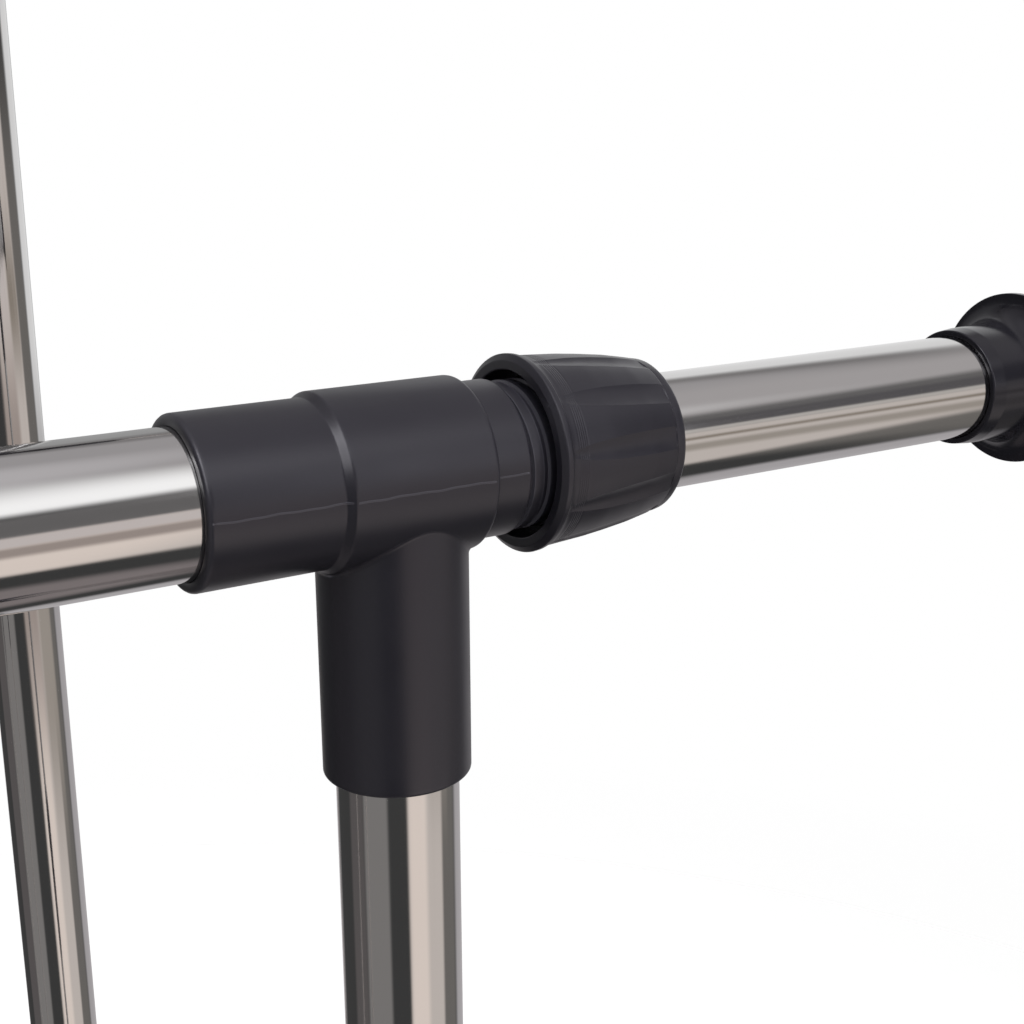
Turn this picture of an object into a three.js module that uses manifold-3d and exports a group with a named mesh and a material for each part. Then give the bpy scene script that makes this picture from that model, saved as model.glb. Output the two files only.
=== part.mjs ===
// Rolling clothes rack with two telescopic rails, in millimetres, +Z up.
// X runs along the rails, Y runs from the front rail (-Y) to the back rail (+Y), and the floor is Z = 0.
// The origin is the middle of the rack's footprint, on the floor.
import * as THREE from 'three';
import { mergeVertices } from 'three/addons/utils/BufferGeometryUtils.js';
import Module from 'manifold-3d';

// ---------------------------------------------------------------- driving dimensions
const POST_SPACING_X = 775;      // between the left and right posts
const POST_SPACING_Y = 290;      // between the front and back posts
const FRONT_RAIL_Z = 1200;       // height of the front rail's axis
const BACK_RAIL_Z = 1450;        // height of the back rail's axis
const OUTER_R = 14;              // 28 mm tube: rails and lower posts
const INNER_R = 12.5;            // 25 mm tube: extensions, upper posts and lower bars
const WALL = 1;                  // steel wall of every tube
const GAP = 0.3;                 // between pieces that touch
const RAIL_PULL = 153;           // from a tee's centre to the near edge of its end stop
const SEGMENTS = 14;             // facets round a tube
const WHEEL_SEGMENTS = 24;       // facets round a wheel

const WHEEL_R = 25;
const WHEEL_WIDTH = 20;
const CASTER_TRAIL = 17;         // from the swivel axis to the wheel's axle
const CASTER_Y = 190;
const CASTER_STEM_R = 5;
const CASTER_BOSS_R = 10;
const PIN_SEGMENTS = 12;         // facets round a pin, stem or axle
const FOOT_LENGTH = 440;
const FOOT_WIDTH = 46;
const FOOT_BOTTOM = 66;
const FOOT_TOP = 94;
const BAR_Y = 70;                // lower bars, either side of the middle
const BAR_Z = 80;
const SOCKET_TOP = 150;          // top of the foot's post sockets
const LOWER_POST_TOP = 838;
const UPPER_POST_LENGTH = 760;
const EXTENSION_LENGTH = 420;

const POST_X = POST_SPACING_X / 2;
const POST_Y = POST_SPACING_Y / 2;

// ---------------------------------------------------------------- materials
const steel = new THREE.MeshStandardMaterial({ color: 0xc9c6c2, roughness: 0.12, metalness: 1 });
const plastic = new THREE.MeshStandardMaterial({ color: 0x1d1d20, roughness: 0.45, metalness: 0 });
const nylon = new THREE.MeshStandardMaterial({ color: 0xd8d6cf, roughness: 0.5, metalness: 0 });
const rubber = new THREE.MeshStandardMaterial({ color: 0x3a3b3e, roughness: 0.7, metalness: 0 });

// ---------------------------------------------------------------- solids
const wasm = await Module();
wasm.setup();

function toSolid(geometry) {
  const plain = geometry.clone();
  plain.deleteAttribute('normal');
  plain.deleteAttribute('uv');
  const merged = mergeVertices(plain, 1e-3);
  return new wasm.Manifold(new wasm.Mesh({
    numProp: 3,
    vertProperties: new Float32Array(merged.attributes.position.array),
    triVerts: new Uint32Array(merged.index.array),
  }));
}

function toGeometry(solid) {
  const mesh = solid.getMesh();
  const geometry = new THREE.BufferGeometry();
  geometry.setAttribute('position', new THREE.BufferAttribute(new Float32Array(mesh.vertProperties), 3));
  geometry.setIndex(new THREE.BufferAttribute(new Uint32Array(mesh.triVerts), 1));
  geometry.computeVertexNormals();
  return geometry;
}

function join(...geometries) {
  return toGeometry(geometries.map(toSolid).reduce((whole, piece) => whole.add(piece)));
}

function cut(geometry, ...tools) {
  return toGeometry(tools.map(toSolid).reduce((whole, tool) => whole.subtract(tool), toSolid(geometry)));
}

// A closed outline of [radius, height] points, counter-clockwise, turned about +Z.
function turned(outline, segments = SEGMENTS) {
  const points = outline.map(([r, z]) => new THREE.Vector2(r, z));
  points.push(points[0].clone());
  return new THREE.LatheGeometry(points, segments).rotateX(Math.PI / 2);
}

function alongX(geometry) {
  return geometry.rotateY(Math.PI / 2);
}

function tube(outer, inner, low, high, segments = SEGMENTS) {
  return turned([[inner, low], [outer, low], [outer, high], [inner, high]], segments);
}

function rod(radius, low, high, segments = SEGMENTS) {
  return new THREE.CylinderGeometry(radius, radius, high - low, segments)
    .rotateX(Math.PI / 2)
    .translate(0, 0, (low + high) / 2);
}

function block(x0, x1, y0, y1, z0, z1) {
  return new THREE.BoxGeometry(x1 - x0, y1 - y0, z1 - z0)
    .translate((x0 + x1) / 2, (y0 + y1) / 2, (z0 + z1) / 2);
}

// An outline of [x, z] points, extruded along Y by its full width about Y = 0.
function slabXZ(outline, width) {
  const shape = new THREE.Shape(outline.map(([x, z]) => new THREE.Vector2(x, z)));
  return new THREE.ExtrudeGeometry(shape, { depth: width, bevelEnabled: false })
    .rotateX(Math.PI / 2)
    .translate(0, width / 2, 0);
}

// ---------------------------------------------------------------- twist lock
// Each lock is laid out along +Z from the shoulder of the fitting that carries it.
const LOCK = {
  neckR: 15.7,
  neckLength: 13,
  threadR: 15,
  threadEnd: 32,
  bore: INNER_R + 0.45,
  mouthStart: 20,
  mouthR: 14.4,
  mouthInnerR: 13.9,
};

// Outline of the neck and its threaded mouth, outside then inside, down to the given depth.
function lockOutline(depth) {
  return [
    [LOCK.neckR, 0], [LOCK.neckR, LOCK.neckLength],
    [LOCK.threadR, LOCK.neckLength], [LOCK.threadR, LOCK.threadEnd],
    [LOCK.mouthR, LOCK.threadEnd], [LOCK.mouthInnerR, LOCK.mouthStart],
    [LOCK.bore, LOCK.mouthStart - 1], [LOCK.bore, depth],
  ];
}

function lockNut() {
  return turned([
    [17.8, 12.6], [20.2, 12.6], [18.9, 31], [16.4, 45.5],
    [13.1, 45.5], [13.1, 40.6], [15.6, 40.6], [15.6, 18.5], [17.8, 18.5],
  ]);
}

function lockCollet() {
  const ring = turned([
    [12.85, 24], [13.8, 35.5], [14.9, 35.5], [14.9, 40], [12.85, 40],
  ]);
  return cut(ring, block(5, 20, -1.2, 1.2, 20, 44));
}

// ---------------------------------------------------------------- fittings
const TEE = {
  leftX: -43,
  armR: 16.25,
  bodyX0: -16,
  bodyX1: 14.5,
  bodyR: 17.3,
  legR: 15,
  legBottom: -62,
  stopX: 8,
};

// A tee in its own frame: the rail enters from -X, the lock points to +X, and the post hangs down.
function tee() {
  const shoulder = TEE.bodyX1;
  const lock = lockOutline(TEE.stopX - shoulder).map(([r, s]) => [r, s + shoulder]);
  const run = alongX(turned([
    [OUTER_R + GAP, TEE.leftX], [TEE.armR, TEE.leftX], [TEE.armR, TEE.bodyX0],
    [TEE.bodyR, TEE.bodyX0 + 1], [TEE.bodyR, shoulder],
    ...lock,
    [OUTER_R + GAP, TEE.stopX],
  ]));
  const leg = cut(
    rod(TEE.legR, TEE.legBottom, 0),
    alongX(rod(OUTER_R + GAP + 0.6, -30, 30)),
    rod(INNER_R + GAP, TEE.legBottom - 1, -17.5),
  );
  return join(run, leg);
}

// A straight reducer on top of a lower post, from its lower rim up to the lock.
const REDUCER_SHOULDER = LOWER_POST_TOP + 8;
function reducer() {
  const lock = lockOutline(-6).map(([r, s]) => [r, s + REDUCER_SHOULDER]);
  return turned([
    [OUTER_R + GAP, REDUCER_SHOULDER - 52], [TEE.armR, REDUCER_SHOULDER - 52],
    [TEE.armR, REDUCER_SHOULDER - 20], [TEE.bodyR, REDUCER_SHOULDER - 19],
    [TEE.bodyR, REDUCER_SHOULDER],
    ...lock,
    [OUTER_R + GAP, REDUCER_SHOULDER - 6],
  ]);
}

// A flared cap on an extension's outer end, from its near edge outwards.
const STOP_LENGTH = 27;
function endStop() {
  return turned([
    [INNER_R + GAP, 0], [14.3, 0], [14.5, 9], [17.4, 19], [21.5, 23.5],
    [20.8, STOP_LENGTH], [0, STOP_LENGTH], [0, 20], [INNER_R + GAP, 20],
  ]);
}

// A bush pressed over an inner tube's hidden end, which slides in the outer tube.
const GLIDE_R = OUTER_R - WALL - 0.35;
function glide() {
  return turned([
    [8, -3], [GLIDE_R, -3], [GLIDE_R, 0], [INNER_R - WALL - GAP, 0], [INNER_R - WALL - GAP, 16], [8, 16],
  ]);
}

// ---------------------------------------------------------------- foot
function stadium(length, width, low, high) {
  const half = length / 2 - width / 2;
  const shape = new THREE.Shape();
  shape.absarc(0, half, width / 2, 0, Math.PI, false);
  shape.absarc(0, -half, width / 2, Math.PI, 2 * Math.PI, false);
  return new THREE.ExtrudeGeometry(shape, { depth: high - low, bevelEnabled: false, curveSegments: 4 })
    .translate(0, 0, low);
}

function foot(inward) {
  const wall = 3;
  const barSocket = (y) => alongX(rod(15.6, 0, 46)).rotateZ(inward > 0 ? 0 : Math.PI).translate(0, y, BAR_Z);
  const barBore = (y) => alongX(rod(INNER_R + GAP, 16, 60)).rotateZ(inward > 0 ? 0 : Math.PI).translate(0, y, BAR_Z);
  const shell = cut(
    stadium(FOOT_LENGTH, FOOT_WIDTH, FOOT_BOTTOM, FOOT_TOP),
    stadium(FOOT_LENGTH - 2 * wall, FOOT_WIDTH - 2 * wall, FOOT_BOTTOM - 1, FOOT_TOP - wall),
  );
  const posts = [-POST_Y, POST_Y];
  const casters = [-CASTER_Y, CASTER_Y];
  const bars = [-BAR_Y, BAR_Y];
  const solid = join(
    shell,
    ...posts.map((y) => turned([[0, 68], [18.5, 68], [18.5, 96], [17, SOCKET_TOP], [0, SOCKET_TOP]])
      .translate(0, y, 0)),
    ...casters.map((y) => rod(CASTER_BOSS_R, FOOT_BOTTOM, FOOT_TOP - 1, PIN_SEGMENTS).translate(0, y, 0)),
    ...bars.map(barSocket),
  );
  return cut(
    solid,
    ...posts.map((y) => rod(OUTER_R + GAP, 76, SOCKET_TOP + 1).translate(0, y, 0)),
    ...casters.map((y) => rod(CASTER_STEM_R + 0.4, FOOT_BOTTOM - 1, FOOT_TOP - 4, PIN_SEGMENTS).translate(0, y, 0)),
    ...bars.map(barBore),
  );
}

// ---------------------------------------------------------------- caster
// The swivel axis is X = Y = 0 and the wheel trails towards -X, with one flat facet on the floor.
const FORK_WIDTH = 29;
const BRAKE_PIN = { r: 1.6, x: -34, z: 53 };

// A pin along Y, of the given radius and half length.
function crossPin(radius, half) {
  return rod(radius, -half, half, PIN_SEGMENTS).rotateX(Math.PI / 2);
}

function casterFork(hasBrake) {
  const outline = [
    [13, 62], [13, 50], [-11, 21], [-23, 21], [-33, 36], [-39, 48], [-39, 57], [-30, 62],
  ];
  const inner = [[30, 54], [30, 0], [-60, 0], [-60, 65], [-28, 65], [-28, 54]];
  const shell = cut(slabXZ(outline, FORK_WIDTH), slabXZ(inner, FORK_WIDTH - 6));
  const pins = [crossPin(3, FORK_WIDTH / 2).translate(-CASTER_TRAIL, 0, WHEEL_R)];
  if (hasBrake) pins.push(crossPin(BRAKE_PIN.r, FORK_WIDTH / 2).translate(BRAKE_PIN.x, 0, BRAKE_PIN.z));
  return join(shell, rod(9, 61, FOOT_BOTTOM - GAP, PIN_SEGMENTS), rod(CASTER_STEM_R, 61, 88, PIN_SEGMENTS), ...pins);
}

function casterWheel() {
  const half = WHEEL_WIDTH / 2;
  const facet = Math.PI / WHEEL_SEGMENTS;
  const treadR = WHEEL_R / Math.cos(facet);
  return turned([
    [3.5, -half], [treadR - 2, -half], [treadR, -half + 3],
    [treadR, half - 3], [treadR - 2, half], [3.5, half],
  ], WHEEL_SEGMENTS).rotateZ(facet).rotateX(Math.PI / 2).translate(-CASTER_TRAIL, 0, WHEEL_R);
}

function brakeLever() {
  const outline = [
    [-29.5, 50.5], [-29.5, 57], [-36, 58.5], [-50, 57], [-64, 51], [-64, 48.5], [-50, 52.5], [-38, 49.5],
  ];
  return cut(slabXZ(outline, 20), crossPin(BRAKE_PIN.r + 0.4, 20).translate(BRAKE_PIN.x, 0, BRAKE_PIN.z));
}

// ---------------------------------------------------------------- assembly
const rack = new THREE.Group();

function add(parent, name, geometry, material) {
  const mesh = new THREE.Mesh(geometry, material);
  mesh.name = name;
  parent.add(mesh);
  return mesh;
}

function group(x, y, z, turnZ = 0) {
  const made = new THREE.Group();
  made.position.set(x, y, z);
  made.rotation.z = turnZ;
  rack.add(made);
  return made;
}

const SIDES = [['left', -1], ['right', 1]];
const ROWS = [['front', -1, FRONT_RAIL_Z], ['back', 1, BACK_RAIL_Z]];

for (const [side, sx] of SIDES) {
  const base = group(sx * POST_X, 0, 0);
  add(base, `${side}_foot`, foot(-sx), plastic);
}

for (const [row, sy, railZ] of ROWS) {
  const rail = group(0, sy * POST_Y, railZ);
  const railHalf = POST_X + TEE.stopX - 1;
  add(rail, `${row}_rail`, alongX(tube(OUTER_R, OUTER_R - WALL, -railHalf, railHalf)), steel);

  const bar = group(0, sy * BAR_Y, BAR_Z);
  const barHalf = POST_X - 17;
  add(bar, `${row}_lower_bar`, alongX(tube(INNER_R, INNER_R - WALL, -barHalf, barHalf)), steel);

  for (const [side, sx] of SIDES) {
    const corner = `${row}_${side}`;

    const post = group(sx * POST_X, sy * POST_Y, 0);
    add(post, `${corner}_lower_post`, tube(OUTER_R, OUTER_R - WALL, 77, LOWER_POST_TOP), steel);
    add(post, `${corner}_post_reducer`, reducer(), plastic);
    add(post, `${corner}_post_collet`, lockCollet().translate(0, 0, REDUCER_SHOULDER), nylon);
    add(post, `${corner}_post_nut`, lockNut().translate(0, 0, REDUCER_SHOULDER), plastic);
    const upperTop = railZ - 18;
    add(post, `${corner}_upper_post`, tube(INNER_R, INNER_R - WALL, upperTop - UPPER_POST_LENGTH, upperTop), steel);

    const end = group(sx * POST_X, sy * POST_Y, railZ, sx > 0 ? 0 : Math.PI);
    add(end, `${corner}_tee`, tee(), plastic);
    add(end, `${corner}_rail_collet`, alongX(lockCollet().translate(0, 0, TEE.bodyX1)), nylon);
    add(end, `${corner}_rail_nut`, alongX(lockNut().translate(0, 0, TEE.bodyX1)), plastic);
    const tubeEnd = RAIL_PULL + 19.5;
    const tubeStart = tubeEnd - EXTENSION_LENGTH;
    add(end, `${corner}_extension`, alongX(tube(INNER_R, INNER_R - WALL, tubeStart, tubeEnd)), steel);
    add(end, `${corner}_glide`, alongX(glide().translate(0, 0, tubeStart - GAP)), nylon);
    add(end, `${corner}_end_stop`, alongX(endStop().translate(0, 0, RAIL_PULL)), plastic);

    const hasBrake = row === 'front';
    const caster = group(sx * POST_X, sy * CASTER_Y, 0);
    add(caster, `${corner}_caster_fork`, casterFork(hasBrake), plastic);
    add(caster, `${corner}_caster_wheel`, casterWheel(), rubber);
    if (hasBrake) add(caster, `${corner}_brake_lever`, brakeLever(), plastic);
  }
}

export default rack;
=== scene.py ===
# Rolling clothes rack with two telescopic rails: the visual model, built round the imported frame.
# Outlines are in millimetres in each fitting's own frame, and a placement matrix puts them in the rack.
import math

import bpy
import bmesh
from mathutils import Matrix, Vector


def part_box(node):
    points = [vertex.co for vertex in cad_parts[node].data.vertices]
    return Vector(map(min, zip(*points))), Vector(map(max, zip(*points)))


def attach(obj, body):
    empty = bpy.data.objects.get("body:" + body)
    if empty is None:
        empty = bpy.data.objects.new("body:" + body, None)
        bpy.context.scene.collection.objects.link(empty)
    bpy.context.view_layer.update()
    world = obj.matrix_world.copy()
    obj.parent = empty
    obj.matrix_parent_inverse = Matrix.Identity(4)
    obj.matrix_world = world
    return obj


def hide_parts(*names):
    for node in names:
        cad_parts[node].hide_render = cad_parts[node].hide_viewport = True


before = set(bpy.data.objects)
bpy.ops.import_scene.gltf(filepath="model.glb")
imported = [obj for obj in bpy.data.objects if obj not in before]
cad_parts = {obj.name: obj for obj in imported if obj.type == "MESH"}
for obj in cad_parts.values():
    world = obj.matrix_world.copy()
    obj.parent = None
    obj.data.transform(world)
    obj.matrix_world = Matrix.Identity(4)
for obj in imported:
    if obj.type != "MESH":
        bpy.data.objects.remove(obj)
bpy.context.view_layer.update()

MM = 0.001
TAU = 2 * math.pi
ROUND = 96          # columns round a tube or fitting
SHARP = 32          # degrees above which an edge stays crisp
NUT_SHARP = 13      # the same for the nuts, so that the flutes' edges show

SIDES = {"left": -1, "right": 1}
ROWS = ("front", "back")
CORNERS = [(row, side) for row in ROWS for side in SIDES]


def box_centre(node):
    low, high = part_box(node)
    return Vector([(a + b) / 2 for a, b in zip(low, high)])


# ---------------------------------------------------------------- materials
def new_material(name):
    made = bpy.data.materials.new(name)
    made.use_nodes = True
    made.node_tree.nodes.clear()
    return made, made.node_tree.nodes, made.node_tree.links


def shader_of(nodes, links, **values):
    """A Principled shader wired to the output, with constants set on its own sockets."""
    shader = nodes.new("ShaderNodeBsdfPrincipled")
    output = nodes.new("ShaderNodeOutputMaterial")
    links.new(shader.outputs["BSDF"], output.inputs["Surface"])
    for socket, value in values.items():
        shader.inputs[socket.replace("_", " ")].default_value = value
    return shader


def object_noise(nodes, links, scale, detail=2.0, stretch=(1, 1, 1)):
    coords = nodes.new("ShaderNodeTexCoord")
    mapping = nodes.new("ShaderNodeMapping")
    mapping.inputs["Scale"].default_value = stretch
    noise = nodes.new("ShaderNodeTexNoise")
    noise.inputs["Scale"].default_value = scale
    noise.inputs["Detail"].default_value = detail
    links.new(coords.outputs["Object"], mapping.inputs["Vector"])
    links.new(mapping.outputs["Vector"], noise.inputs["Vector"])
    return noise.outputs["Fac"]


def remap(nodes, links, value, low, high, from_low=0.3, from_high=0.7):
    node = nodes.new("ShaderNodeMapRange")
    node.inputs["From Min"].default_value = from_low
    node.inputs["From Max"].default_value = from_high
    node.inputs["To Min"].default_value = low
    node.inputs["To Max"].default_value = high
    links.new(value, node.inputs["Value"])
    return node.outputs["Result"]


def blend_colours(nodes, links, factor, first, second):
    mix = nodes.new("ShaderNodeMix")
    mix.data_type = "RGBA"
    links.new(factor, mix.inputs[0])
    mix.inputs[6].default_value = (*first, 1)
    mix.inputs[7].default_value = (*second, 1)
    return mix.outputs[2]


def bump(nodes, links, height, strength, distance, normal=None):
    node = nodes.new("ShaderNodeBump")
    node.inputs["Strength"].default_value = strength
    node.inputs["Distance"].default_value = distance
    links.new(height, node.inputs["Height"])
    if normal is not None:
        links.new(normal, node.inputs["Normal"])
    return node.outputs["Normal"]


def polished_steel(name, stretch):
    """Drawn and polished tube: bright metal with faint draw lines along it and a slightly uneven polish."""
    made, nodes, links = new_material(name)
    shader = shader_of(nodes, links, Metallic=1.0)
    patches = object_noise(nodes, links, 30, 3)
    lines = object_noise(nodes, links, 900, 2, stretch)
    colour = blend_colours(nodes, links, patches, (0.685, 0.675, 0.67), (0.715, 0.71, 0.71))
    links.new(colour, shader.inputs["Base Color"])
    links.new(remap(nodes, links, lines, 0.05, 0.11), shader.inputs["Roughness"])
    links.new(bump(nodes, links, lines, 0.04, 0.00004), shader.inputs["Normal"])
    return made


def satin_plastic(name, dark, light, rough_low, rough_high, ior=1.5):
    """Moulded plastic: fine spark grain, slow changes of sheen from the mould, and paler convex edges that
    are a painted highlight.
    """
    made, nodes, links = new_material(name)
    shader = shader_of(nodes, links, IOR=ior, Specular_Tint=(0.95, 0.93, 1, 1))
    cloud = object_noise(nodes, links, 60, 3)
    grain = object_noise(nodes, links, 2600, 2)
    geometry = nodes.new("ShaderNodeNewGeometry")
    # Painted highlight: convex edges, found by pointiness, get a paler colour that stands in for thin edge
    # highlights.
    edge_highlight_mask = remap(nodes, links, geometry.outputs["Pointiness"], 0.0, 1.0, 0.52, 0.62)
    edge_highlight_mix = nodes.new("ShaderNodeMix")
    edge_highlight_mix.data_type = "RGBA"
    links.new(edge_highlight_mask, edge_highlight_mix.inputs[0])
    links.new(blend_colours(nodes, links, cloud, dark, light), edge_highlight_mix.inputs[6])
    edge_highlight_mix.inputs[7].default_value = (*[min(1, 2.5 * c + 0.02) for c in light], 1)
    links.new(edge_highlight_mix.outputs[2], shader.inputs["Base Color"])
    links.new(remap(nodes, links, cloud, rough_low, rough_high), shader.inputs["Roughness"])
    links.new(bump(nodes, links, grain, 0.12, 0.00005), shader.inputs["Normal"])
    return made


STEEL_X = polished_steel("polished_steel_along_x", (0.01, 1, 1))
STEEL_Z = polished_steel("polished_steel_along_z", (1, 1, 0.01))
BLACK = satin_plastic("black_satin_plastic", (0.0080, 0.0076, 0.0112), (0.0110, 0.0104, 0.0146),
                      0.3, 0.37, 1.62)
GLOSSY_BLACK = satin_plastic("black_smooth_plastic", (0.0070, 0.0068, 0.0092), (0.0092, 0.0088, 0.0120),
                             0.13, 0.18, 1.44)
NYLON = satin_plastic("natural_nylon", (0.62, 0.61, 0.56), (0.72, 0.71, 0.67), 0.4, 0.5)
RUBBER = satin_plastic("wheel_rubber", (0.02, 0.02, 0.021), (0.035, 0.034, 0.034), 0.6, 0.75)
ZINC = satin_plastic("zinc_plated_pin", (0.5, 0.5, 0.5), (0.62, 0.62, 0.62), 0.25, 0.35)


# ---------------------------------------------------------------- mesh helpers
def rounded(points, steps=4):
    """A closed outline of (a, b) or (a, b, radius) points, with each radius turned into an arc."""
    made = []
    count = len(points)
    for i, point in enumerate(points):
        here = Vector(point[:2])
        radius = point[2] if len(point) > 2 else 0
        before = Vector(points[i - 1][:2]) - here
        after = Vector(points[(i + 1) % count][:2]) - here
        if radius <= 0:
            made.append(tuple(here))
            continue
        to_before, to_after = before.normalized(), after.normalized()
        half = to_before.angle(to_after) / 2
        reach = min(radius / math.tan(half), 0.48 * before.length, 0.48 * after.length)
        radius = reach * math.tan(half)
        centre = here + (to_before + to_after).normalized() * (radius / math.sin(half))
        start = here + to_before * reach - centre
        end = here + to_after * reach - centre
        turn = start.angle_signed(end)
        for k in range(steps + 1):
            angle = -turn * k / steps
            c, s = math.cos(angle), math.sin(angle)
            made.append((centre.x + c * start.x - s * start.y, centre.y + s * start.x + c * start.y))
    return made


def skin(shell, rings, wrap=True):
    """Adds quads between rings of equal length. The last ring meets the first, or caps close the ends."""
    rows = [[shell.verts.new(p) for p in ring] for ring in rings]
    pairs = list(zip(rows, rows[1:])) + ([(rows[-1], rows[0])] if wrap else [])
    for a, b in pairs:
        for i in range(len(a)):
            j = (i + 1) % len(a)
            shell.faces.new((a[i], a[j], b[j], b[i]))
    if not wrap:
        shell.faces.new(rows[0][::-1])
        shell.faces.new(rows[-1])


def ring_x(radius, x, angles):
    """Points round the X axis; angles run from the top towards -Y."""
    return [(x, -radius * math.sin(a), radius * math.cos(a)) for a in angles]


def ring_z(radius, z, angles):
    return [(radius * math.cos(a), radius * math.sin(a), z) for a in angles]


def even(count=ROUND):
    return [TAU * i / count for i in range(count)]


SUPPORT = 0.25      # how far a supporting point stands from the end of its side


def supported(outline):
    """Adds a point close to both ends of every long side, so that its shading stays straight."""
    made = []
    for a, b in zip(outline, outline[1:] + outline[:1]):
        a, b = Vector(a), Vector(b)
        made.append(tuple(a))
        length = (b - a).length
        if length > 4 * SUPPORT:
            step = (b - a) * (SUPPORT / length)
            made += [tuple(a + step), tuple(b - step)]
    return made


def turned(shell, outline, ring=ring_x, count=ROUND):
    """A closed outline of (radius, height) points turned about the ring's axis."""
    skin(shell, [ring(r, s, even(count)) for r, s in supported(outline)])


def mesh_from(name, build, material, sharp):
    """A mesh built in millimetres, smooth but for the edges that turn by more than sharp degrees."""
    shell = bmesh.new()
    build(shell)
    bmesh.ops.recalc_face_normals(shell, faces=shell.faces)
    limit = math.radians(sharp)
    for face in shell.faces:
        face.smooth = True
    for edge in shell.edges:
        edge.smooth = len(edge.link_faces) == 2 and edge.calc_face_angle(0) < limit
    shell.transform(Matrix.Scale(MM, 4))
    mesh = bpy.data.meshes.new(name)
    shell.to_mesh(mesh)
    shell.free()
    mesh.materials.append(material)
    return mesh


MESHES = {}


def piece(name, key, build, material, place, body, replaces=(), sharp=SHARP):
    """A piece placed in the rack and riding on a body. Repeats with the same key share one mesh."""
    if key not in MESHES:
        MESHES[key] = mesh_from(name, build, material, sharp)
    made = bpy.data.objects.new(name, MESHES[key])
    bpy.context.scene.collection.objects.link(made)
    made.matrix_world = place
    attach(made, body)
    if replaces:
        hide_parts(*replaces)


def at(x, y, z, turn=0.0):
    return Matrix.Translation((x, y, z)) @ Matrix.Rotation(turn, 4, "Z")


# ---------------------------------------------------------------- tubes
OUTER_TUBE, INNER_TUBE = 14.0, 12.5     # radii
TUBE_WALL = 1.0


def tube(radius, low, high, ring):
    inside = radius - TUBE_WALL
    corners = [(inside, low, 0.2), (radius, low, 0.3), (radius, high, 0.3), (inside, high, 0.2)]
    outline = rounded(corners, 2)
    return lambda shell: turned(shell, outline, ring)


# ---------------------------------------------------------------- twist lock, from its fitting's shoulder
BORE, SLEEVE, BODY, NECK = 14.03, 16.25, 17.3, 15.7     # radii along a fitting
NECK_LENGTH = 7.9
MOUTH = 32.0        # end of the threaded mouth
THREAD = {"root": 14.5, "crest": 15.1, "start": 8.2, "end": 31.0, "pitch": 3.6}


def lock_outline(shoulder, depth):
    """The neck, the threaded mouth and its bore, outside then inside."""
    root = THREAD["root"]
    neck_end, mouth = shoulder + NECK_LENGTH, shoulder + MOUTH
    slide = INNER_TUBE + 0.45
    return [
        (NECK, shoulder, 0.25), (NECK, neck_end, 0.5), (root, neck_end + 0.3), (root, mouth, 0.3),
        (14.4, mouth, 0.2), (13.9, shoulder + 20), (slide, shoulder + 19), (slide, shoulder + depth),
    ]


def thread_ridge(shell, ring, shoulder):
    """One helical ridge: a trapezium swept round the mouth, sunk a little into it."""
    turns = (THREAD["end"] - THREAD["start"] - 2) / THREAD["pitch"]
    steps = int(turns * ROUND)
    root, crest = THREAD["root"] - 0.2, THREAD["crest"]
    section = [(-1.5, root), (-1.1, crest), (-0.8, crest), (0.8, crest), (1.1, crest), (1.5, root)]
    rings = []
    for i in range(steps + 1):
        angle = TAU * turns * i / steps
        middle = shoulder + THREAD["start"] + 1 + THREAD["pitch"] * angle / TAU
        rings.append([ring(r, middle + s, [angle])[0] for s, r in section])
    skin(shell, rings, wrap=False)


FLUTES = 11
PITCH = TAU / FLUTES
FLUTE_PHASE = math.radians(80.5)
FLUTE_START, FLUTE_DEEPEST, FLUTE_END = 15.0, 30.0, 42.6     # along the lock from the shoulder
FLUTE_HALF = math.radians(8.0)
FLUTE_LEAST_HALF = math.radians(2.5)    # a narrower column would shade unevenly
FLUTE_DEPTH = 0.68
TURNING_RINGS = (16.4, 19.2)            # fine grooves between these places
NUT_LAND = [
    (15.0, 19.72), (15.6, 19.6), (20.5, 19.3), (25.5, 19.0),
    (30.5, 18.5), (36.5, 17.75), (41.5, 16.85), (42.6, 16.62),
]


def along(table, s):
    """Straight-line reading of a table of (position, value) pairs."""
    for (s0, v0), (s1, v1) in zip(table, table[1:]):
        if s <= s1:
            return v0 + (v1 - v0) * max(0, s - s0) / (s1 - s0)
    return table[-1][1]


def flute_half(s):
    """Half the flute's angle at s: half an ellipse, so each flute starts as a rounded petal."""
    reach = (FLUTE_END - min(max(s, FLUTE_START), FLUTE_END)) / (FLUTE_END - FLUTE_START)
    return FLUTE_HALF * math.sqrt(max(0.0, 1 - reach ** 2))


def nut_ring(ring, radius, s, fluted):
    """One ring of the nut, with its columns gathered in the flutes."""
    half = flute_half(s)
    fading = max(0.0, (s - FLUTE_DEEPEST) / (FLUTE_END - FLUTE_DEEPEST)) ** 2
    depth = FLUTE_DEPTH * (half / FLUTE_HALF) ** 1.4 * (1 - 0.6 * fading) if fluted else 0
    half = max(half, FLUTE_LEAST_HALF)
    across, land = 10, 8
    points = []
    for k in range(FLUTES):
        centre = FLUTE_PHASE + k * PITCH
        for j in range(across):
            t = -1 + 2 * j / across
            points += ring(radius - depth * (1 - t * t), s, [centre + half * t])
        for j in range(land):
            points += ring(radius, s, [centre + half + (PITCH - 2 * half) * j / land])
    return points


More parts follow.
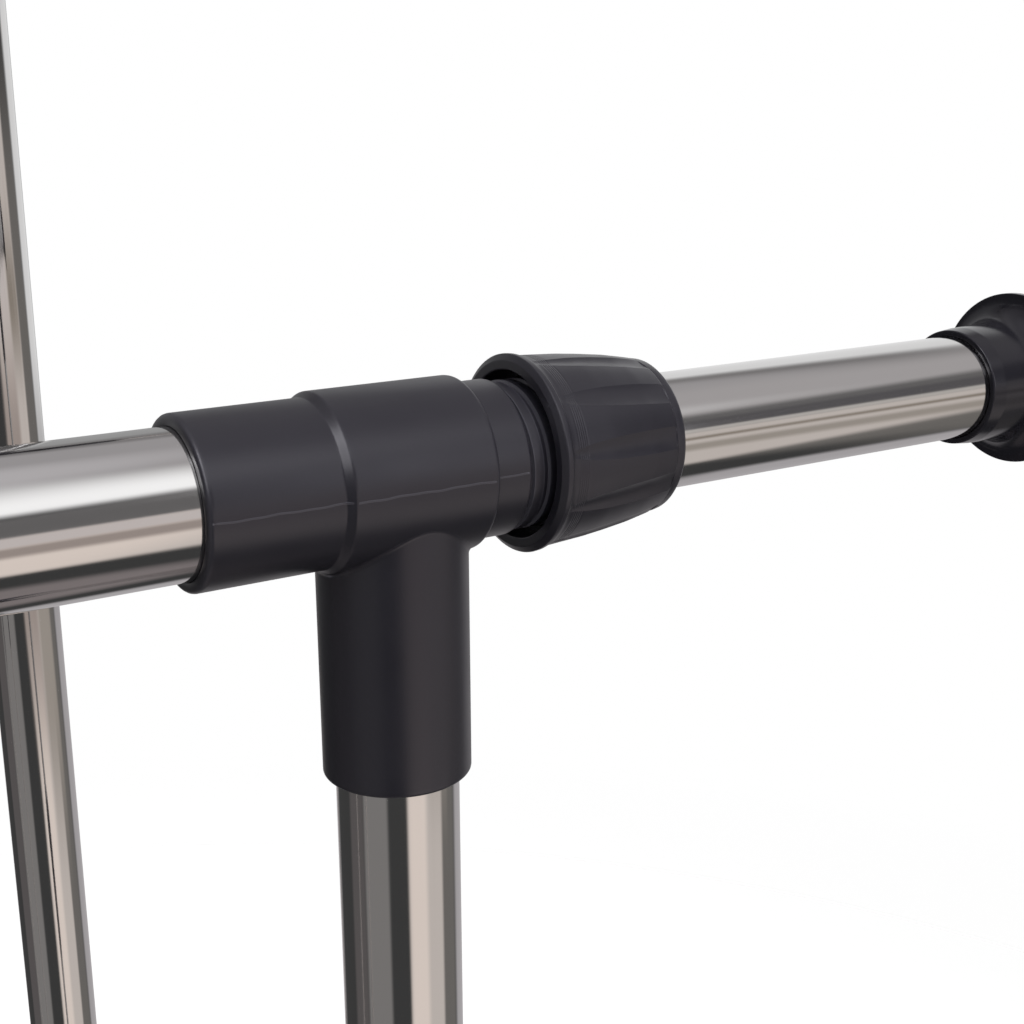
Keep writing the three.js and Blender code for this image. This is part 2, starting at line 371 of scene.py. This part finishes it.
def twist_nut(ring):
    """The nut's near rim, its fluted side, its far collar and the hollow inside."""
    rim = rounded([
        (17.0, 18.5), (17.0, 12.6, 0.3), (18.9, 12.6, 0.25), (20.2, 13.5, 0.35), (20.1, 14.6, 0.3),
        (19.8, 15.0),
    ], 3)
    near = supported(rim[1:-1])[:-2]    # less the points that support the closing side
    collar = [(16.5, 42.85), (16.38, 43.0), (16.36, 44.0), (16.2, 44.8), (15.8, 45.3), (15.2, 45.5)]
    inside = [(13.3, 45.5), (13.1, 45.3), (13.1, 40.6), (15.6, 40.6), (15.6, 18.5), (17.0, 18.5)]
    fine_end = 19.5
    places = [FLUTE_START + 0.25 * k for k in range(18)]
    places += [fine_end + (FLUTE_END - fine_end) * k / 26 for k in range(27)]

    def build(shell):
        rings = [nut_ring(ring, r, s, False) for r, s in near]
        for k, s in enumerate(places):
            groove = 0.04 if k % 2 and TURNING_RINGS[0] < s < TURNING_RINGS[1] else 0
            rings.append(nut_ring(ring, along(NUT_LAND, s) - groove, s, s > FLUTE_START))
        rings += [nut_ring(ring, r, s, False) for r, s in collar + inside]
        skin(shell, rings)

    return build


# ---------------------------------------------------------------- tee
SHOULDER = 14.5
LEG_R, LEG_BOTTOM, LEG_BORE = 15.0, -61.4, 12.8
FILLET = 1.6
TEE_START = -43.0
RUN = [
    (TEE_START, SLEEVE), (-17.4, SLEEVE), (-15.8, BODY), (13.4, BODY),
    (SHOULDER, 16.2), (14.6, NECK), (60.0, NECK),
]


def run_height(x, y):
    """Depth of the run's underside at (x, y)."""
    return -math.sqrt(max(0.0, along(RUN, x) ** 2 - y * y))


def leg_join(angle):
    """Where a fillet that rolls down the leg touches the run, in the leg's plane at this angle."""
    c, s = math.cos(angle), math.sin(angle)
    outline = []
    rho = 8.0
    while rho < min(LEG_R + 2 * FILLET, (BODY - 0.1) / max(abs(s), 1e-6)):
        outline.append((rho, run_height(rho * c, rho * s)))
        rho += 0.05
    low, high = -30.0, 5.0
    for _ in range(40):
        middle = (low + high) / 2
        gap = min(math.hypot(r - LEG_R - FILLET, z - middle) for r, z in outline)
        under = middle < along(outline, LEG_R + FILLET)
        low, high = (middle, high) if gap > FILLET and under else (low, middle)
    centre = (LEG_R + FILLET, low)
    touch = min(outline, key=lambda p: math.hypot(p[0] - centre[0], p[1] - centre[1]))
    return centre, touch


def tee_leg(shell):
    """The leg from its bore, round its lower end and up its side, over the fillet and into the run's wall."""
    columns = []
    inward = 14.9       # the shell ends inside the run's wall, on a cylinder of this radius
    for angle in even():
        c, s = math.cos(angle), math.sin(angle)
        centre, touch = leg_join(angle)
        sweep = math.atan2(touch[1] - centre[1], touch[0] - centre[0]) % TAU
        column = rounded([
            (LEG_BORE, -17.6), (LEG_BORE, LEG_BOTTOM, 0.5), (LEG_R, LEG_BOTTOM, 0.9), (LEG_R, -60.0),
            (LEG_R, -30.0),
        ], 4)
        column.append((LEG_R, centre[1] - SUPPORT))
        steps = 8
        for k in range(steps + 1):
            a = math.pi + (sweep - math.pi) * k / steps
            column.append((centre[0] + FILLET * math.cos(a), centre[1] + FILLET * math.sin(a)))
        rho, z = column[-1]
        column.append((rho - 0.1, z + SUPPORT))
        for k in range(6):
            r = 13.0 * (6 - k) / 6
            column.append((r, -math.sqrt(inward ** 2 - (r * s) ** 2)))
        columns.append([(r * c, r * s, z) for r, z in column])
    skin(shell, list(zip(*columns)), wrap=False)


def seam(shell, path, angle):
    """The parting line of the mould: a low, slightly wandering ridge of flash along a fitting's side."""
    section = ((-0.016, -0.2), (-0.012, 0.01), (0, 0.05), (0.012, 0.01), (0.016, -0.2))
    (first, _), (last, _) = path[0], path[-1]
    steps = int((last - first) / 0.5)
    rings = []
    for k in range(steps + 1):
        x = first + (last - first) * k / steps
        r = along(path, x)
        middle = angle + 0.003 * math.sin(1.1 * x) + 0.004 * math.sin(0.5 * x + 1)
        rings.append([ring_x(r + lift, x, [middle + offset])[0] for offset, lift in section])
    skin(shell, rings, wrap=False)


def tee(shell):
    stop = -6.5         # from the shoulder to the step in the bore that stops the rail's end
    outline = rounded([
        (BORE, TEE_START, 0.3), (SLEEVE, TEE_START, 1.6), (SLEEVE, -17.2, 0.7), (BODY, -15.7, 1.0),
        (BODY, SHOULDER, 1.0), *lock_outline(SHOULDER, stop), (BORE, SHOULDER + stop),
    ])
    turned(shell, outline)
    thread_ridge(shell, ring_x, SHOULDER)
    tee_leg(shell)
    path = [
        (-42.4, SLEEVE - 0.1), (-41.6, SLEEVE), (-17.6, SLEEVE), (-15.4, BODY), (13.6, BODY), (14.3, 16.9),
        (14.7, NECK), (SHOULDER + NECK_LENGTH - 0.6, NECK),
    ]
    for side in (1, -1):
        seam(shell, path, side * math.pi / 2)


# ---------------------------------------------------------------- post reducer
REDUCER_LENGTH = 52.0


def reducer(shell):
    stop = -6           # from the shoulder to the step in the bore that stops the lower post
    outline = rounded([
        (BORE, -REDUCER_LENGTH, 0.3), (SLEEVE, -REDUCER_LENGTH, 1.6), (SLEEVE, -21.2, 0.7),
        (BODY, -19.7, 1.0), (BODY, 0, 1.0), *lock_outline(0, stop), (BORE, stop),
    ])
    turned(shell, outline, ring_z)
    thread_ridge(shell, ring_z, 0)


# ---------------------------------------------------------------- end stop
def end_stop(shell):
    """A sleeve on the tube's end that flares into a disc. A plug closes the small hole on its axis."""
    quarter = [math.pi / 2 * k / 16 for k in range(17)]
    flare = [(14.4 + 6.4 * (1 - math.cos(a)), 15.5 + 8.2 * math.sin(a)) for a in quarter]
    outline = rounded([
        (12.55, 2, 0.2), (13.9, 2, 0.4), (14.3, 6, 6), *flare, (21.3, 23.75, 0.3), (21.3, 26, 0.8),
        (19.8, 27, 1.5), (6, 27, 2), (2, 26.8), (2, 20), (12.55, 20),
    ], 5)
    turned(shell, outline)
    skin(shell, [ring_x(2.1, s, even()) for s in (24.0, 26.8)], wrap=False)


# ---------------------------------------------------------------- plates: outlines in XZ, thick along Y
def inset(outline, distance):
    """Moves a closed outline inwards by a distance."""
    count = len(outline)
    area = sum(a[0] * b[1] - b[0] * a[1] for a, b in zip(outline, outline[1:] + outline[:1]))
    sign = 1 if area > 0 else -1
    made = []
    for i, here in enumerate(outline):
        a = (Vector(here) - Vector(outline[i - 1])).normalized()
        b = (Vector(outline[(i + 1) % count]) - Vector(here)).normalized()
        normal = Vector((-a.y - b.y, a.x + b.x)).normalized() * sign
        stretch = max(0.5, math.sqrt(max(0.0, (1 + a.dot(b)) / 2)))
        made.append(tuple(Vector(here) + normal * distance / stretch))
    return made


def plate(shell, outline, y0, y1, edge, place=Matrix(), steps=3):
    """An outline made thick from y0 to y1, its rims rounded by edge."""
    levels = []
    for k in range(steps + 1):
        a = math.pi / 2 * k / steps
        levels.append((edge * (1 - math.cos(a)), edge * (1 - math.sin(a))))
    levels.append((edge + SUPPORT, 0))
    heights = [(y0 + rise, cut) for cut, rise in reversed(levels)]
    heights += [(y1 - rise, cut) for cut, rise in levels]
    rings = [[place @ Vector((x, y, z)) for x, z in inset(outline, cut)] for y, cut in heights]
    skin(shell, rings, wrap=False)


def ring_y(radius, y, angles):
    return [(radius * math.sin(a), y, radius * math.cos(a)) for a in angles]


def moved(ring, y, z=0.0):
    """The same rings, shifted in Y and Z."""
    return lambda radius, s, angles: [(px, py + y, pz + z) for px, py, pz in ring(radius, s, angles)]


# ---------------------------------------------------------------- foot: inward is +X
FOOT_HALF, FOOT_WIDE = 220.0, 23.0      # half its length and half its width
POST_Y, CASTER_Y, BAR_Y, BAR_Z = 145.0, 190.0, 70.0, 80.0


def stadium(offset, z, steps=28):
    """The foot's outline with round ends, moved inwards by offset."""
    points = []
    for end, first in ((1, 0.0), (-1, math.pi)):
        for k in range(steps + 1):
            a = first + math.pi * k / steps
            r = FOOT_WIDE - offset
            points.append((r * math.cos(a), end * (FOOT_HALF - FOOT_WIDE) + r * math.sin(a), z))
    return points


def foot(shell):
    profile = rounded([(7, 91), (3.4, 91, 0.6), (3, 66, 0.4), (0, 66, 0.6), (0.9, 94, 4), (7, 94)], 5)
    skin(shell, [stadium(d, z) for d, z in supported(profile)[:-2]], wrap=False)
    socket = rounded([
        (14.35, 76), (18, 76), (21.9, 93), (21.6, 94.3), (18.7, 97.5, 4), (17.2, 143), (17.9, 144.5, 0.6),
        (17.9, 149, 1), (14.35, 150, 0.5),
    ], 5)
    bar_socket = rounded([
        (12.8, 16), (12.8, 46, 0.4), (15.6, 46, 1.0), (15.6, 42, 0.5), (15.0, 41, 0.5), (15.5, 12, 3),
        (3, 10), (3, 16),
    ], 4)
    boss = rounded([(5.4, 66, 0.4), (10, 66, 0.6), (10.6, 91.5), (5.4, 91.5)], 3)
    gusset = rounded([(16.5, 93.2), (31, 93.2), (30.5, 95, 1), (17.2, 121, 4), (16.5, 121)], 4)
    for sign in (-1, 1):
        turned(shell, socket, moved(ring_z, y=sign * POST_Y))
        turned(shell, boss, moved(ring_z, y=sign * CASTER_Y), 48)
        turned(shell, bar_socket, moved(ring_x, y=sign * BAR_Y, z=BAR_Z))
        for way in (-1, 1):
            corner = Matrix.Translation((0, sign * POST_Y, 0)) @ Matrix.Rotation(way * math.pi / 2, 4, "Z")
            plate(shell, gusset, -1.6, 1.6, 0.5, corner)


# ---------------------------------------------------------------- caster: it swivels round Z and trails to -X
AXLE_X, AXLE_Z = -17.0, 25.0
SPOKES = 6
CHEEK = [
    (13, 62, 6), (13, 50, 8), (-9.5, 20, 8), (-24.5, 20, 8), (-33, 36, 10), (-39, 47, 6), (-39, 57, 5),
    (-30, 62, 5),
]


def on_axle(radius, y, angles):
    """A ring round the wheel's axle."""
    return [(x + AXLE_X, y, z + AXLE_Z) for x, y, z in ring_y(radius, y, angles)]


def fork(shell):
    for y0, y1 in ((-14.5, -11.5), (11.5, 14.5)):
        plate(shell, rounded(CHEEK, 6), y0, y1, 0.8)
    hood = rounded([(-28, 54, 0.8), (-28, 62, 1.5), (12.9, 62, 6), (12.9, 54, 1)], 6)
    plate(shell, hood, -12.2, 12.2, 0.2)
    turned(shell, rounded([(1, 61), (10.5, 61), (9.5, 63, 1), (9, 65.6, 0.5), (1, 65.6)], 4), ring_z, 64)
    for sign in (-1, 1):
        hub = rounded([(1, 12), (7.5, 12), (7.5, 14.3), (6.5, 15.0, 0.6), (1, 15.0)], 4)
        turned(shell, [(r, sign * s) for r, s in hub], on_axle, 48)


def caster_pins(shell):
    """The swivel stem, and the axle with a head at each end."""
    stem = rounded([(0.8, 61.5), (5, 61.5), (5, 86, 0.5), (4, 88, 0.8), (0.8, 88)], 3)
    turned(shell, stem, ring_z, 48)
    head = [(3, 14.7), (3.6, 14.8), (3.6, 15.1, 0.3), (2.4, 15.6, 0.4), (0.8, 15.6)]
    other = [(r, -y, *radius) for r, y, *radius in reversed(head)]
    turned(shell, rounded(other + head, 3), on_axle, 48)


def wheel_tread(shell):
    half = [(25, 7.4, 2.4), (22.6, 9.6, 1.2), (20, 9.4, 0.5), (18.6, 8.6)]
    other = [(r, -y, *radius) for r, y, *radius in reversed(half)]
    turned(shell, rounded(other + half, 6), on_axle)


def wheel_hub(shell):
    half = [(18.8, 9.4, 0.5), (16.6, 9.0, 0.5), (16, 3, 1.2), (7.4, 4, 1.0), (7, 10.3, 0.6), (3.3, 10.3, 0.2)]
    other = [(r, -y, *radius) for r, y, *radius in reversed(half)]
    turned(shell, rounded(other + half, 3), on_axle)
    for k in range(SPOKES):
        spoke = Matrix.Translation((AXLE_X, 0, AXLE_Z)) @ Matrix.Rotation(TAU * k / SPOKES, 4, "Y")
        plate(shell, [(-1.1, 6.5), (1.1, 6.5), (0.9, 16.9), (-0.9, 16.9)], -8.4, 8.4, 0.4, spoke)


def brake_lever(shell):
    """A curved pedal with three grip ridges across its top."""
    outline = rounded([
        (-29.5, 50.5, 1), (-29.5, 57, 2), (-36, 58.5, 3), (-50, 57, 8), (-64, 51, 1.2), (-64, 48.6, 1),
        (-50, 52.6, 6), (-38, 49.6, 2),
    ], 5)
    plate(shell, outline, -10, 10, 0.8)
    for x, z in ((-53, 55.6), (-56.5, 54.2), (-60, 52.7)):
        foot_of_ridge = [(x - 0.8, z - 0.8), (x + 0.8, z - 0.5)]
        top_of_ridge = [(x + 0.6, z + 0.5, 0.3), (x - 0.6, z + 0.3, 0.3)]
        plate(shell, rounded(foot_of_ridge + top_of_ridge, 3), -8.5, 8.5, 0.4)


# ---------------------------------------------------------------- assembly
def span(node, axis):
    low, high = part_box(node)
    return low[axis], high[axis]


for side, sign in SIDES.items():
    centre = box_centre(f"{side}_foot")
    post = box_centre(f"front_{side}_lower_post")
    place = at(post.x, centre.y, 0, 0 if sign < 0 else math.pi)
    piece(f"{side}_foot_moulding", "foot", foot, BLACK, place, "base", [f"{side}_foot"])

for row in ROWS:
    for name, radius, body in (
        (f"{row}_rail", OUTER_TUBE, f"{row}_carriage"),
        (f"{row}_lower_bar", INNER_TUBE, "base"),
    ):
        centre = box_centre(name)
        low, high = [v / MM for v in span(name, 0)]
        piece(f"{name}_tube", f"tube_{radius}_x", tube(radius, low, high, ring_x), STEEL_X,
              at(0, centre.y, centre.z), body, [name])

for row, side in CORNERS:
    corner = f"{row}_{side}"
    sign = SIDES[side]
    turn = 0 if sign > 0 else math.pi
    post = box_centre(f"{corner}_upper_post")
    rail_z = box_centre(f"{row}_rail").z
    carriage, slider = f"{row}_carriage", f"{corner}_slider"
    end = at(post.x, post.y, rail_z, turn)
    piece(f"{corner}_tee_moulding", "tee", tee, BLACK, end, carriage, [f"{corner}_tee"])
    lock = at(post.x + sign * SHOULDER * MM, post.y, rail_z, turn)
    piece(f"{corner}_rail_twist_nut", "rail_nut", twist_nut(ring_x), BLACK, lock, f"{corner}_rail_twist",
          [f"{corner}_rail_nut"], sharp=NUT_SHARP)

    pulled = sorted(sign * (v - post.x) / MM for v in span(f"{corner}_extension", 0))
    piece(f"{corner}_extension_tube", "extension", tube(INNER_TUBE, *pulled, ring_x), STEEL_X, end, slider,
          [f"{corner}_extension"])
    near = min(sign * (v - post.x) for v in span(f"{corner}_end_stop", 0))
    place = at(post.x + sign * near, post.y, rail_z, turn)
    piece(f"{corner}_flared_stop", "end_stop", end_stop, GLOSSY_BLACK, place, slider, [f"{corner}_end_stop"])

    for part, radius, body in (("upper_post", INNER_TUBE, carriage), ("lower_post", OUTER_TUBE, "base")):
        low, high = span(f"{corner}_{part}", 2)
        piece(f"{corner}_{part}_tube", part, tube(radius, 0, (high - low) / MM, ring_z), STEEL_Z,
              at(post.x, post.y, low), body, [f"{corner}_{part}"])
    shoulder = span(f"{corner}_post_reducer", 2)[0] + REDUCER_LENGTH * MM
    place = at(post.x, post.y, shoulder)
    piece(f"{corner}_post_reducer_moulding", "reducer", reducer, BLACK, place, "base",
          [f"{corner}_post_reducer"])
    piece(f"{corner}_post_twist_nut", "post_nut", twist_nut(ring_z), BLACK, place, f"{corner}_post_twist",
          [f"{corner}_post_nut"], sharp=NUT_SHARP)

    swivel = at(post.x, (-1 if row == "front" else 1) * CASTER_Y * MM, 0)
    caster, wheel = f"{corner}_caster", f"{corner}_wheel"
    piece(f"{corner}_fork_moulding", "fork", fork, BLACK, swivel, caster, [f"{corner}_caster_fork"])
    piece(f"{corner}_caster_pins", "pins", caster_pins, ZINC, swivel, caster)
    piece(f"{corner}_wheel_tread", "tread", wheel_tread, RUBBER, swivel, wheel, [f"{corner}_caster_wheel"])
    piece(f"{corner}_wheel_hub", "hub", wheel_hub, GLOSSY_BLACK, swivel, wheel)
    if row == "front":
        piece(f"{corner}_brake_pedal", "brake", brake_lever, GLOSSY_BLACK, swivel, f"{corner}_brake",
              [f"{corner}_brake_lever"])

    for inner in ("post_collet", "rail_collet", "glide"):
        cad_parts[f"{corner}_{inner}"].data.materials[0] = NYLON


# ---------------------------------------------------------------- stage, light and camera
def stage_floor():
    """A pale round floor that fades out at its rim."""
    made, nodes, links = new_material("pale_floor")
    shader = shader_of(nodes, links, Base_Color=(0.86, 0.86, 0.86, 1), Roughness=0.8)
    coords = nodes.new("ShaderNodeTexCoord")
    length = nodes.new("ShaderNodeVectorMath")
    length.operation = "LENGTH"
    links.new(coords.outputs["Object"], length.inputs[0])
    links.new(remap(nodes, links, length.outputs["Value"], 1, 0, 1.2, 2.6), shader.inputs["Alpha"])
    shell = bmesh.new()
    bmesh.ops.create_circle(shell, cap_ends=True, segments=96, radius=2.8)
    mesh = bpy.data.meshes.new("floor")
    shell.to_mesh(mesh)
    shell.free()
    mesh.materials.append(made)
    floor = bpy.data.objects.new("floor", mesh)
    bpy.context.scene.collection.objects.link(floor)
    floor.location.z = -0.0005
    floor.visible_glossy = False


# The studio that the polished tubes mirror. Each panel has a bearing (0 = +Y, 90 = +X), half its
# width and the softness of its sides, its lowest and highest elevation, each with its softness
# (all in degrees), and a colour. Later panels cover earlier ones.
PANELS = [
    (20, 85, 10, 28, 5, 50, 3, (0.24, 0.23, 0.23)),
    (0, 180, 1, 45, 4, 120, 1, (0.41, 0.395, 0.40)),
    (0, 180, 1, 70, 7, 120, 1, (0.58, 0.56, 0.57)),
    (180, 88, 8, 4, 2, 28, 4, (0.16, 0.155, 0.155)),
    (118, 33, 20, 27, 4, 60, 12, (0.47, 0.45, 0.45)),
    (190, 53, 17, 33, 5, 64, 22, (1.25, 1.25, 1.25)),
    (-115, 16, 7, 42, 6, 66, 8, (5.5, 5.5, 5.5)),
    (-131, 13, 6, 22, 5, 46, 6, (3.5, 3.5, 3.5)),
    (-50, 40, 12, -14, 6, 30, 6, (0.10, 0.10, 0.10)),
    (5, 40, 12, -14, 6, 30, 5, (0.38, 0.38, 0.38)),
    (58, 26, 8, -14, 6, 36, 5, (0.85, 0.85, 0.85)),
    (40, 42, 8, -52, 5, -14, 6, (0.46, 0.44, 0.45)),
    (104, 18, 6, -44, 4, 0, 4, (0.18, 0.17, 0.16)),
    (156, 35, 4, -46, 4, 3, 3, (0.66, 0.60, 0.56)),
    (173, 17, 6, -46, 4, 3, 3, (0.90, 0.79, 0.72)),
    (135, 14, 5, 2, 2, 7, 2, (0.56, 0.53, 0.50)),
    (137, 14, 5, -9, 2, -5, 2, (0.28, 0.24, 0.20)),
    (173, 20, 6, -9, 3, 4, 3, (0.68, 0.62, 0.60)),
    (173, 22, 6, -22, 4, -9, 3, (0.40, 0.34, 0.31)),
    (128, 22, 6, -25, 4, -15, 3, (0.40, 0.36, 0.32)),
    (135, 20, 6, 8, 2, 19, 3, (0.115, 0.11, 0.115)),
    (149, 5, 3, 4, 4, 30, 4, (1.9, 1.88, 1.92)),
    (-107, 24, 4, -48, 4, 0, 4, (0.24, 0.23, 0.225)),
    (-66, 16, 4, -48, 4, 0, 4, (0.12, 0.11, 0.11)),
    (0, 180, 1, -120, 1, -67, 5, (0.25, 0.22, 0.22)),
]


def stage_world():
    world = bpy.data.worlds.new("studio")
    bpy.context.scene.world = world
    world.use_nodes = True
    world.cycles.sampling_method = "NONE"
    nodes, links = world.node_tree.nodes, world.node_tree.links
    nodes.clear()
    coords = nodes.new("ShaderNodeTexCoord")
    split = nodes.new("ShaderNodeSeparateXYZ")
    links.new(coords.outputs["Generated"], split.inputs["Vector"])
    height = nodes.new("ShaderNodeMath")
    height.operation = "ARCSINE"
    links.new(split.outputs["Z"], height.inputs[0])

    def edge(value, middle, soft, rising):
        node = nodes.new("ShaderNodeMapRange")
        node.interpolation_type = "SMOOTHSTEP"
        node.inputs["From Min"].default_value = math.radians(middle - soft)
        node.inputs["From Max"].default_value = math.radians(middle + soft)
        node.inputs["To Min"].default_value = 0 if rising else 1
        node.inputs["To Max"].default_value = 1 if rising else 0
        links.new(value, node.inputs["Value"])
        return node.outputs["Result"]

    def multiply(a, b):
        node = nodes.new("ShaderNodeMath")
        node.operation = "MULTIPLY"
        links.new(a, node.inputs[0])
        links.new(b, node.inputs[1])
        return node.outputs["Value"]

    colour = nodes.new("ShaderNodeRGB").outputs["Color"]
    colour.default_value = (0.055, 0.055, 0.055, 1)
    for bearing, half, soft, low, low_soft, high, high_soft, tint in PANELS:
        rotate = nodes.new("ShaderNodeVectorRotate")
        rotate.rotation_type = "Z_AXIS"
        rotate.inputs["Angle"].default_value = math.radians(bearing)
        links.new(coords.outputs["Generated"], rotate.inputs["Vector"])
        turned_split = nodes.new("ShaderNodeSeparateXYZ")
        links.new(rotate.outputs["Vector"], turned_split.inputs["Vector"])
        azimuth = nodes.new("ShaderNodeMath")
        azimuth.operation = "ARCTAN2"
        links.new(turned_split.outputs["X"], azimuth.inputs[0])
        links.new(turned_split.outputs["Y"], azimuth.inputs[1])
        size = nodes.new("ShaderNodeMath")
        size.operation = "ABSOLUTE"
        links.new(azimuth.outputs["Value"], size.inputs[0])
        rise = edge(height.outputs["Value"], low, low_soft, True)
        window = multiply(rise, edge(height.outputs["Value"], high, high_soft, False))
        if half < 180:
            window = multiply(window, edge(size.outputs["Value"], half, soft, False))
        mix = nodes.new("ShaderNodeMix")
        mix.data_type = "RGBA"
        links.new(window, mix.inputs[0])
        links.new(colour, mix.inputs[6])
        mix.inputs[7].default_value = (*tint, 1)
        colour = mix.outputs[2]

    def background(source=None, value=(1, 1, 1, 1), strength=1.0):
        node = nodes.new("ShaderNodeBackground")
        node.inputs["Color"].default_value = value
        node.inputs["Strength"].default_value = strength
        if source is not None:
            links.new(source, node.inputs["Color"])
        return node.outputs["Background"]

    def either(factor, first, second):
        node = nodes.new("ShaderNodeMixShader")
        links.new(factor, node.inputs["Fac"])
        links.new(first, node.inputs[1])
        links.new(second, node.inputs[2])
        return node.outputs["Shader"]

    path = nodes.new("ShaderNodeLightPath")
    soft_light = background(strength=0.75)
    mirrored = either(path.outputs["Is Glossy Ray"], soft_light, background(colour))
    seen = either(path.outputs["Is Camera Ray"], mirrored, background())
    output = nodes.new("ShaderNodeOutputWorld")
    links.new(seen, output.inputs["Surface"])


def soft_box(name, bearing, elevation, distance, size, energy, target):
    b, e = math.radians(bearing), math.radians(elevation)
    toward = Vector((math.sin(b) * math.cos(e), math.cos(b) * math.cos(e), math.sin(e)))
    light = bpy.data.lights.new(name, "AREA")
    light.shape = "DISK"
    light.size = size
    light.energy = energy
    lamp = bpy.data.objects.new(name, light)
    bpy.context.scene.collection.objects.link(lamp)
    lamp.location = target + toward * distance
    lamp.rotation_euler = toward.to_track_quat("Z", "Y").to_euler()
    lamp.visible_camera = False
    lamp.visible_glossy = False


CAMERA_FROM_TEE = Vector((-0.13156, -0.249385, 0.070041))
CAMERA_YAW, CAMERA_PITCH, CAMERA_ROLL = [math.radians(a) for a in (32.58, 15.53, 0.25)]
CAMERA_LENS = 53.05


def stage_camera(tee_centre):
    ahead = Vector((math.sin(CAMERA_YAW), math.cos(CAMERA_YAW), 0))
    forward = ahead * math.cos(CAMERA_PITCH) - Vector((0, 0, math.sin(CAMERA_PITCH)))
    level = Vector((math.cos(CAMERA_YAW), -math.sin(CAMERA_YAW), 0))
    down = forward.cross(level)
    right = level * math.cos(CAMERA_ROLL) + down * math.sin(CAMERA_ROLL)
    down = forward.cross(right)
    data = bpy.data.cameras.new("camera")
    data.lens = CAMERA_LENS
    data.sensor_width = 36
    data.clip_start = 0.01
    camera = bpy.data.objects.new("camera", data)
    bpy.context.scene.collection.objects.link(camera)
    axes = Matrix((right, -down, -forward)).transposed().to_4x4()
    camera.matrix_world = Matrix.Translation(tee_centre + CAMERA_FROM_TEE) @ axes
    bpy.context.scene.camera = camera


front_right = box_centre("front_right_upper_post")
tee_centre = Vector((front_right.x, front_right.y, box_centre("front_rail").z))
stage_floor()
stage_world()
soft_box("key", 155, 48, 2.6, 1.5, 60, Vector((0, 0, 1.0)))
soft_box("fill", -60, 40, 3.0, 2.0, 8, Vector((0, 0, 0.8)))
soft_box("back", 20, 35, 3.0, 2.0, 30, Vector((0, 0, 0.8)))
stage_camera(tee_centre)
bpy.context.scene.view_settings.view_transform = "Standard"
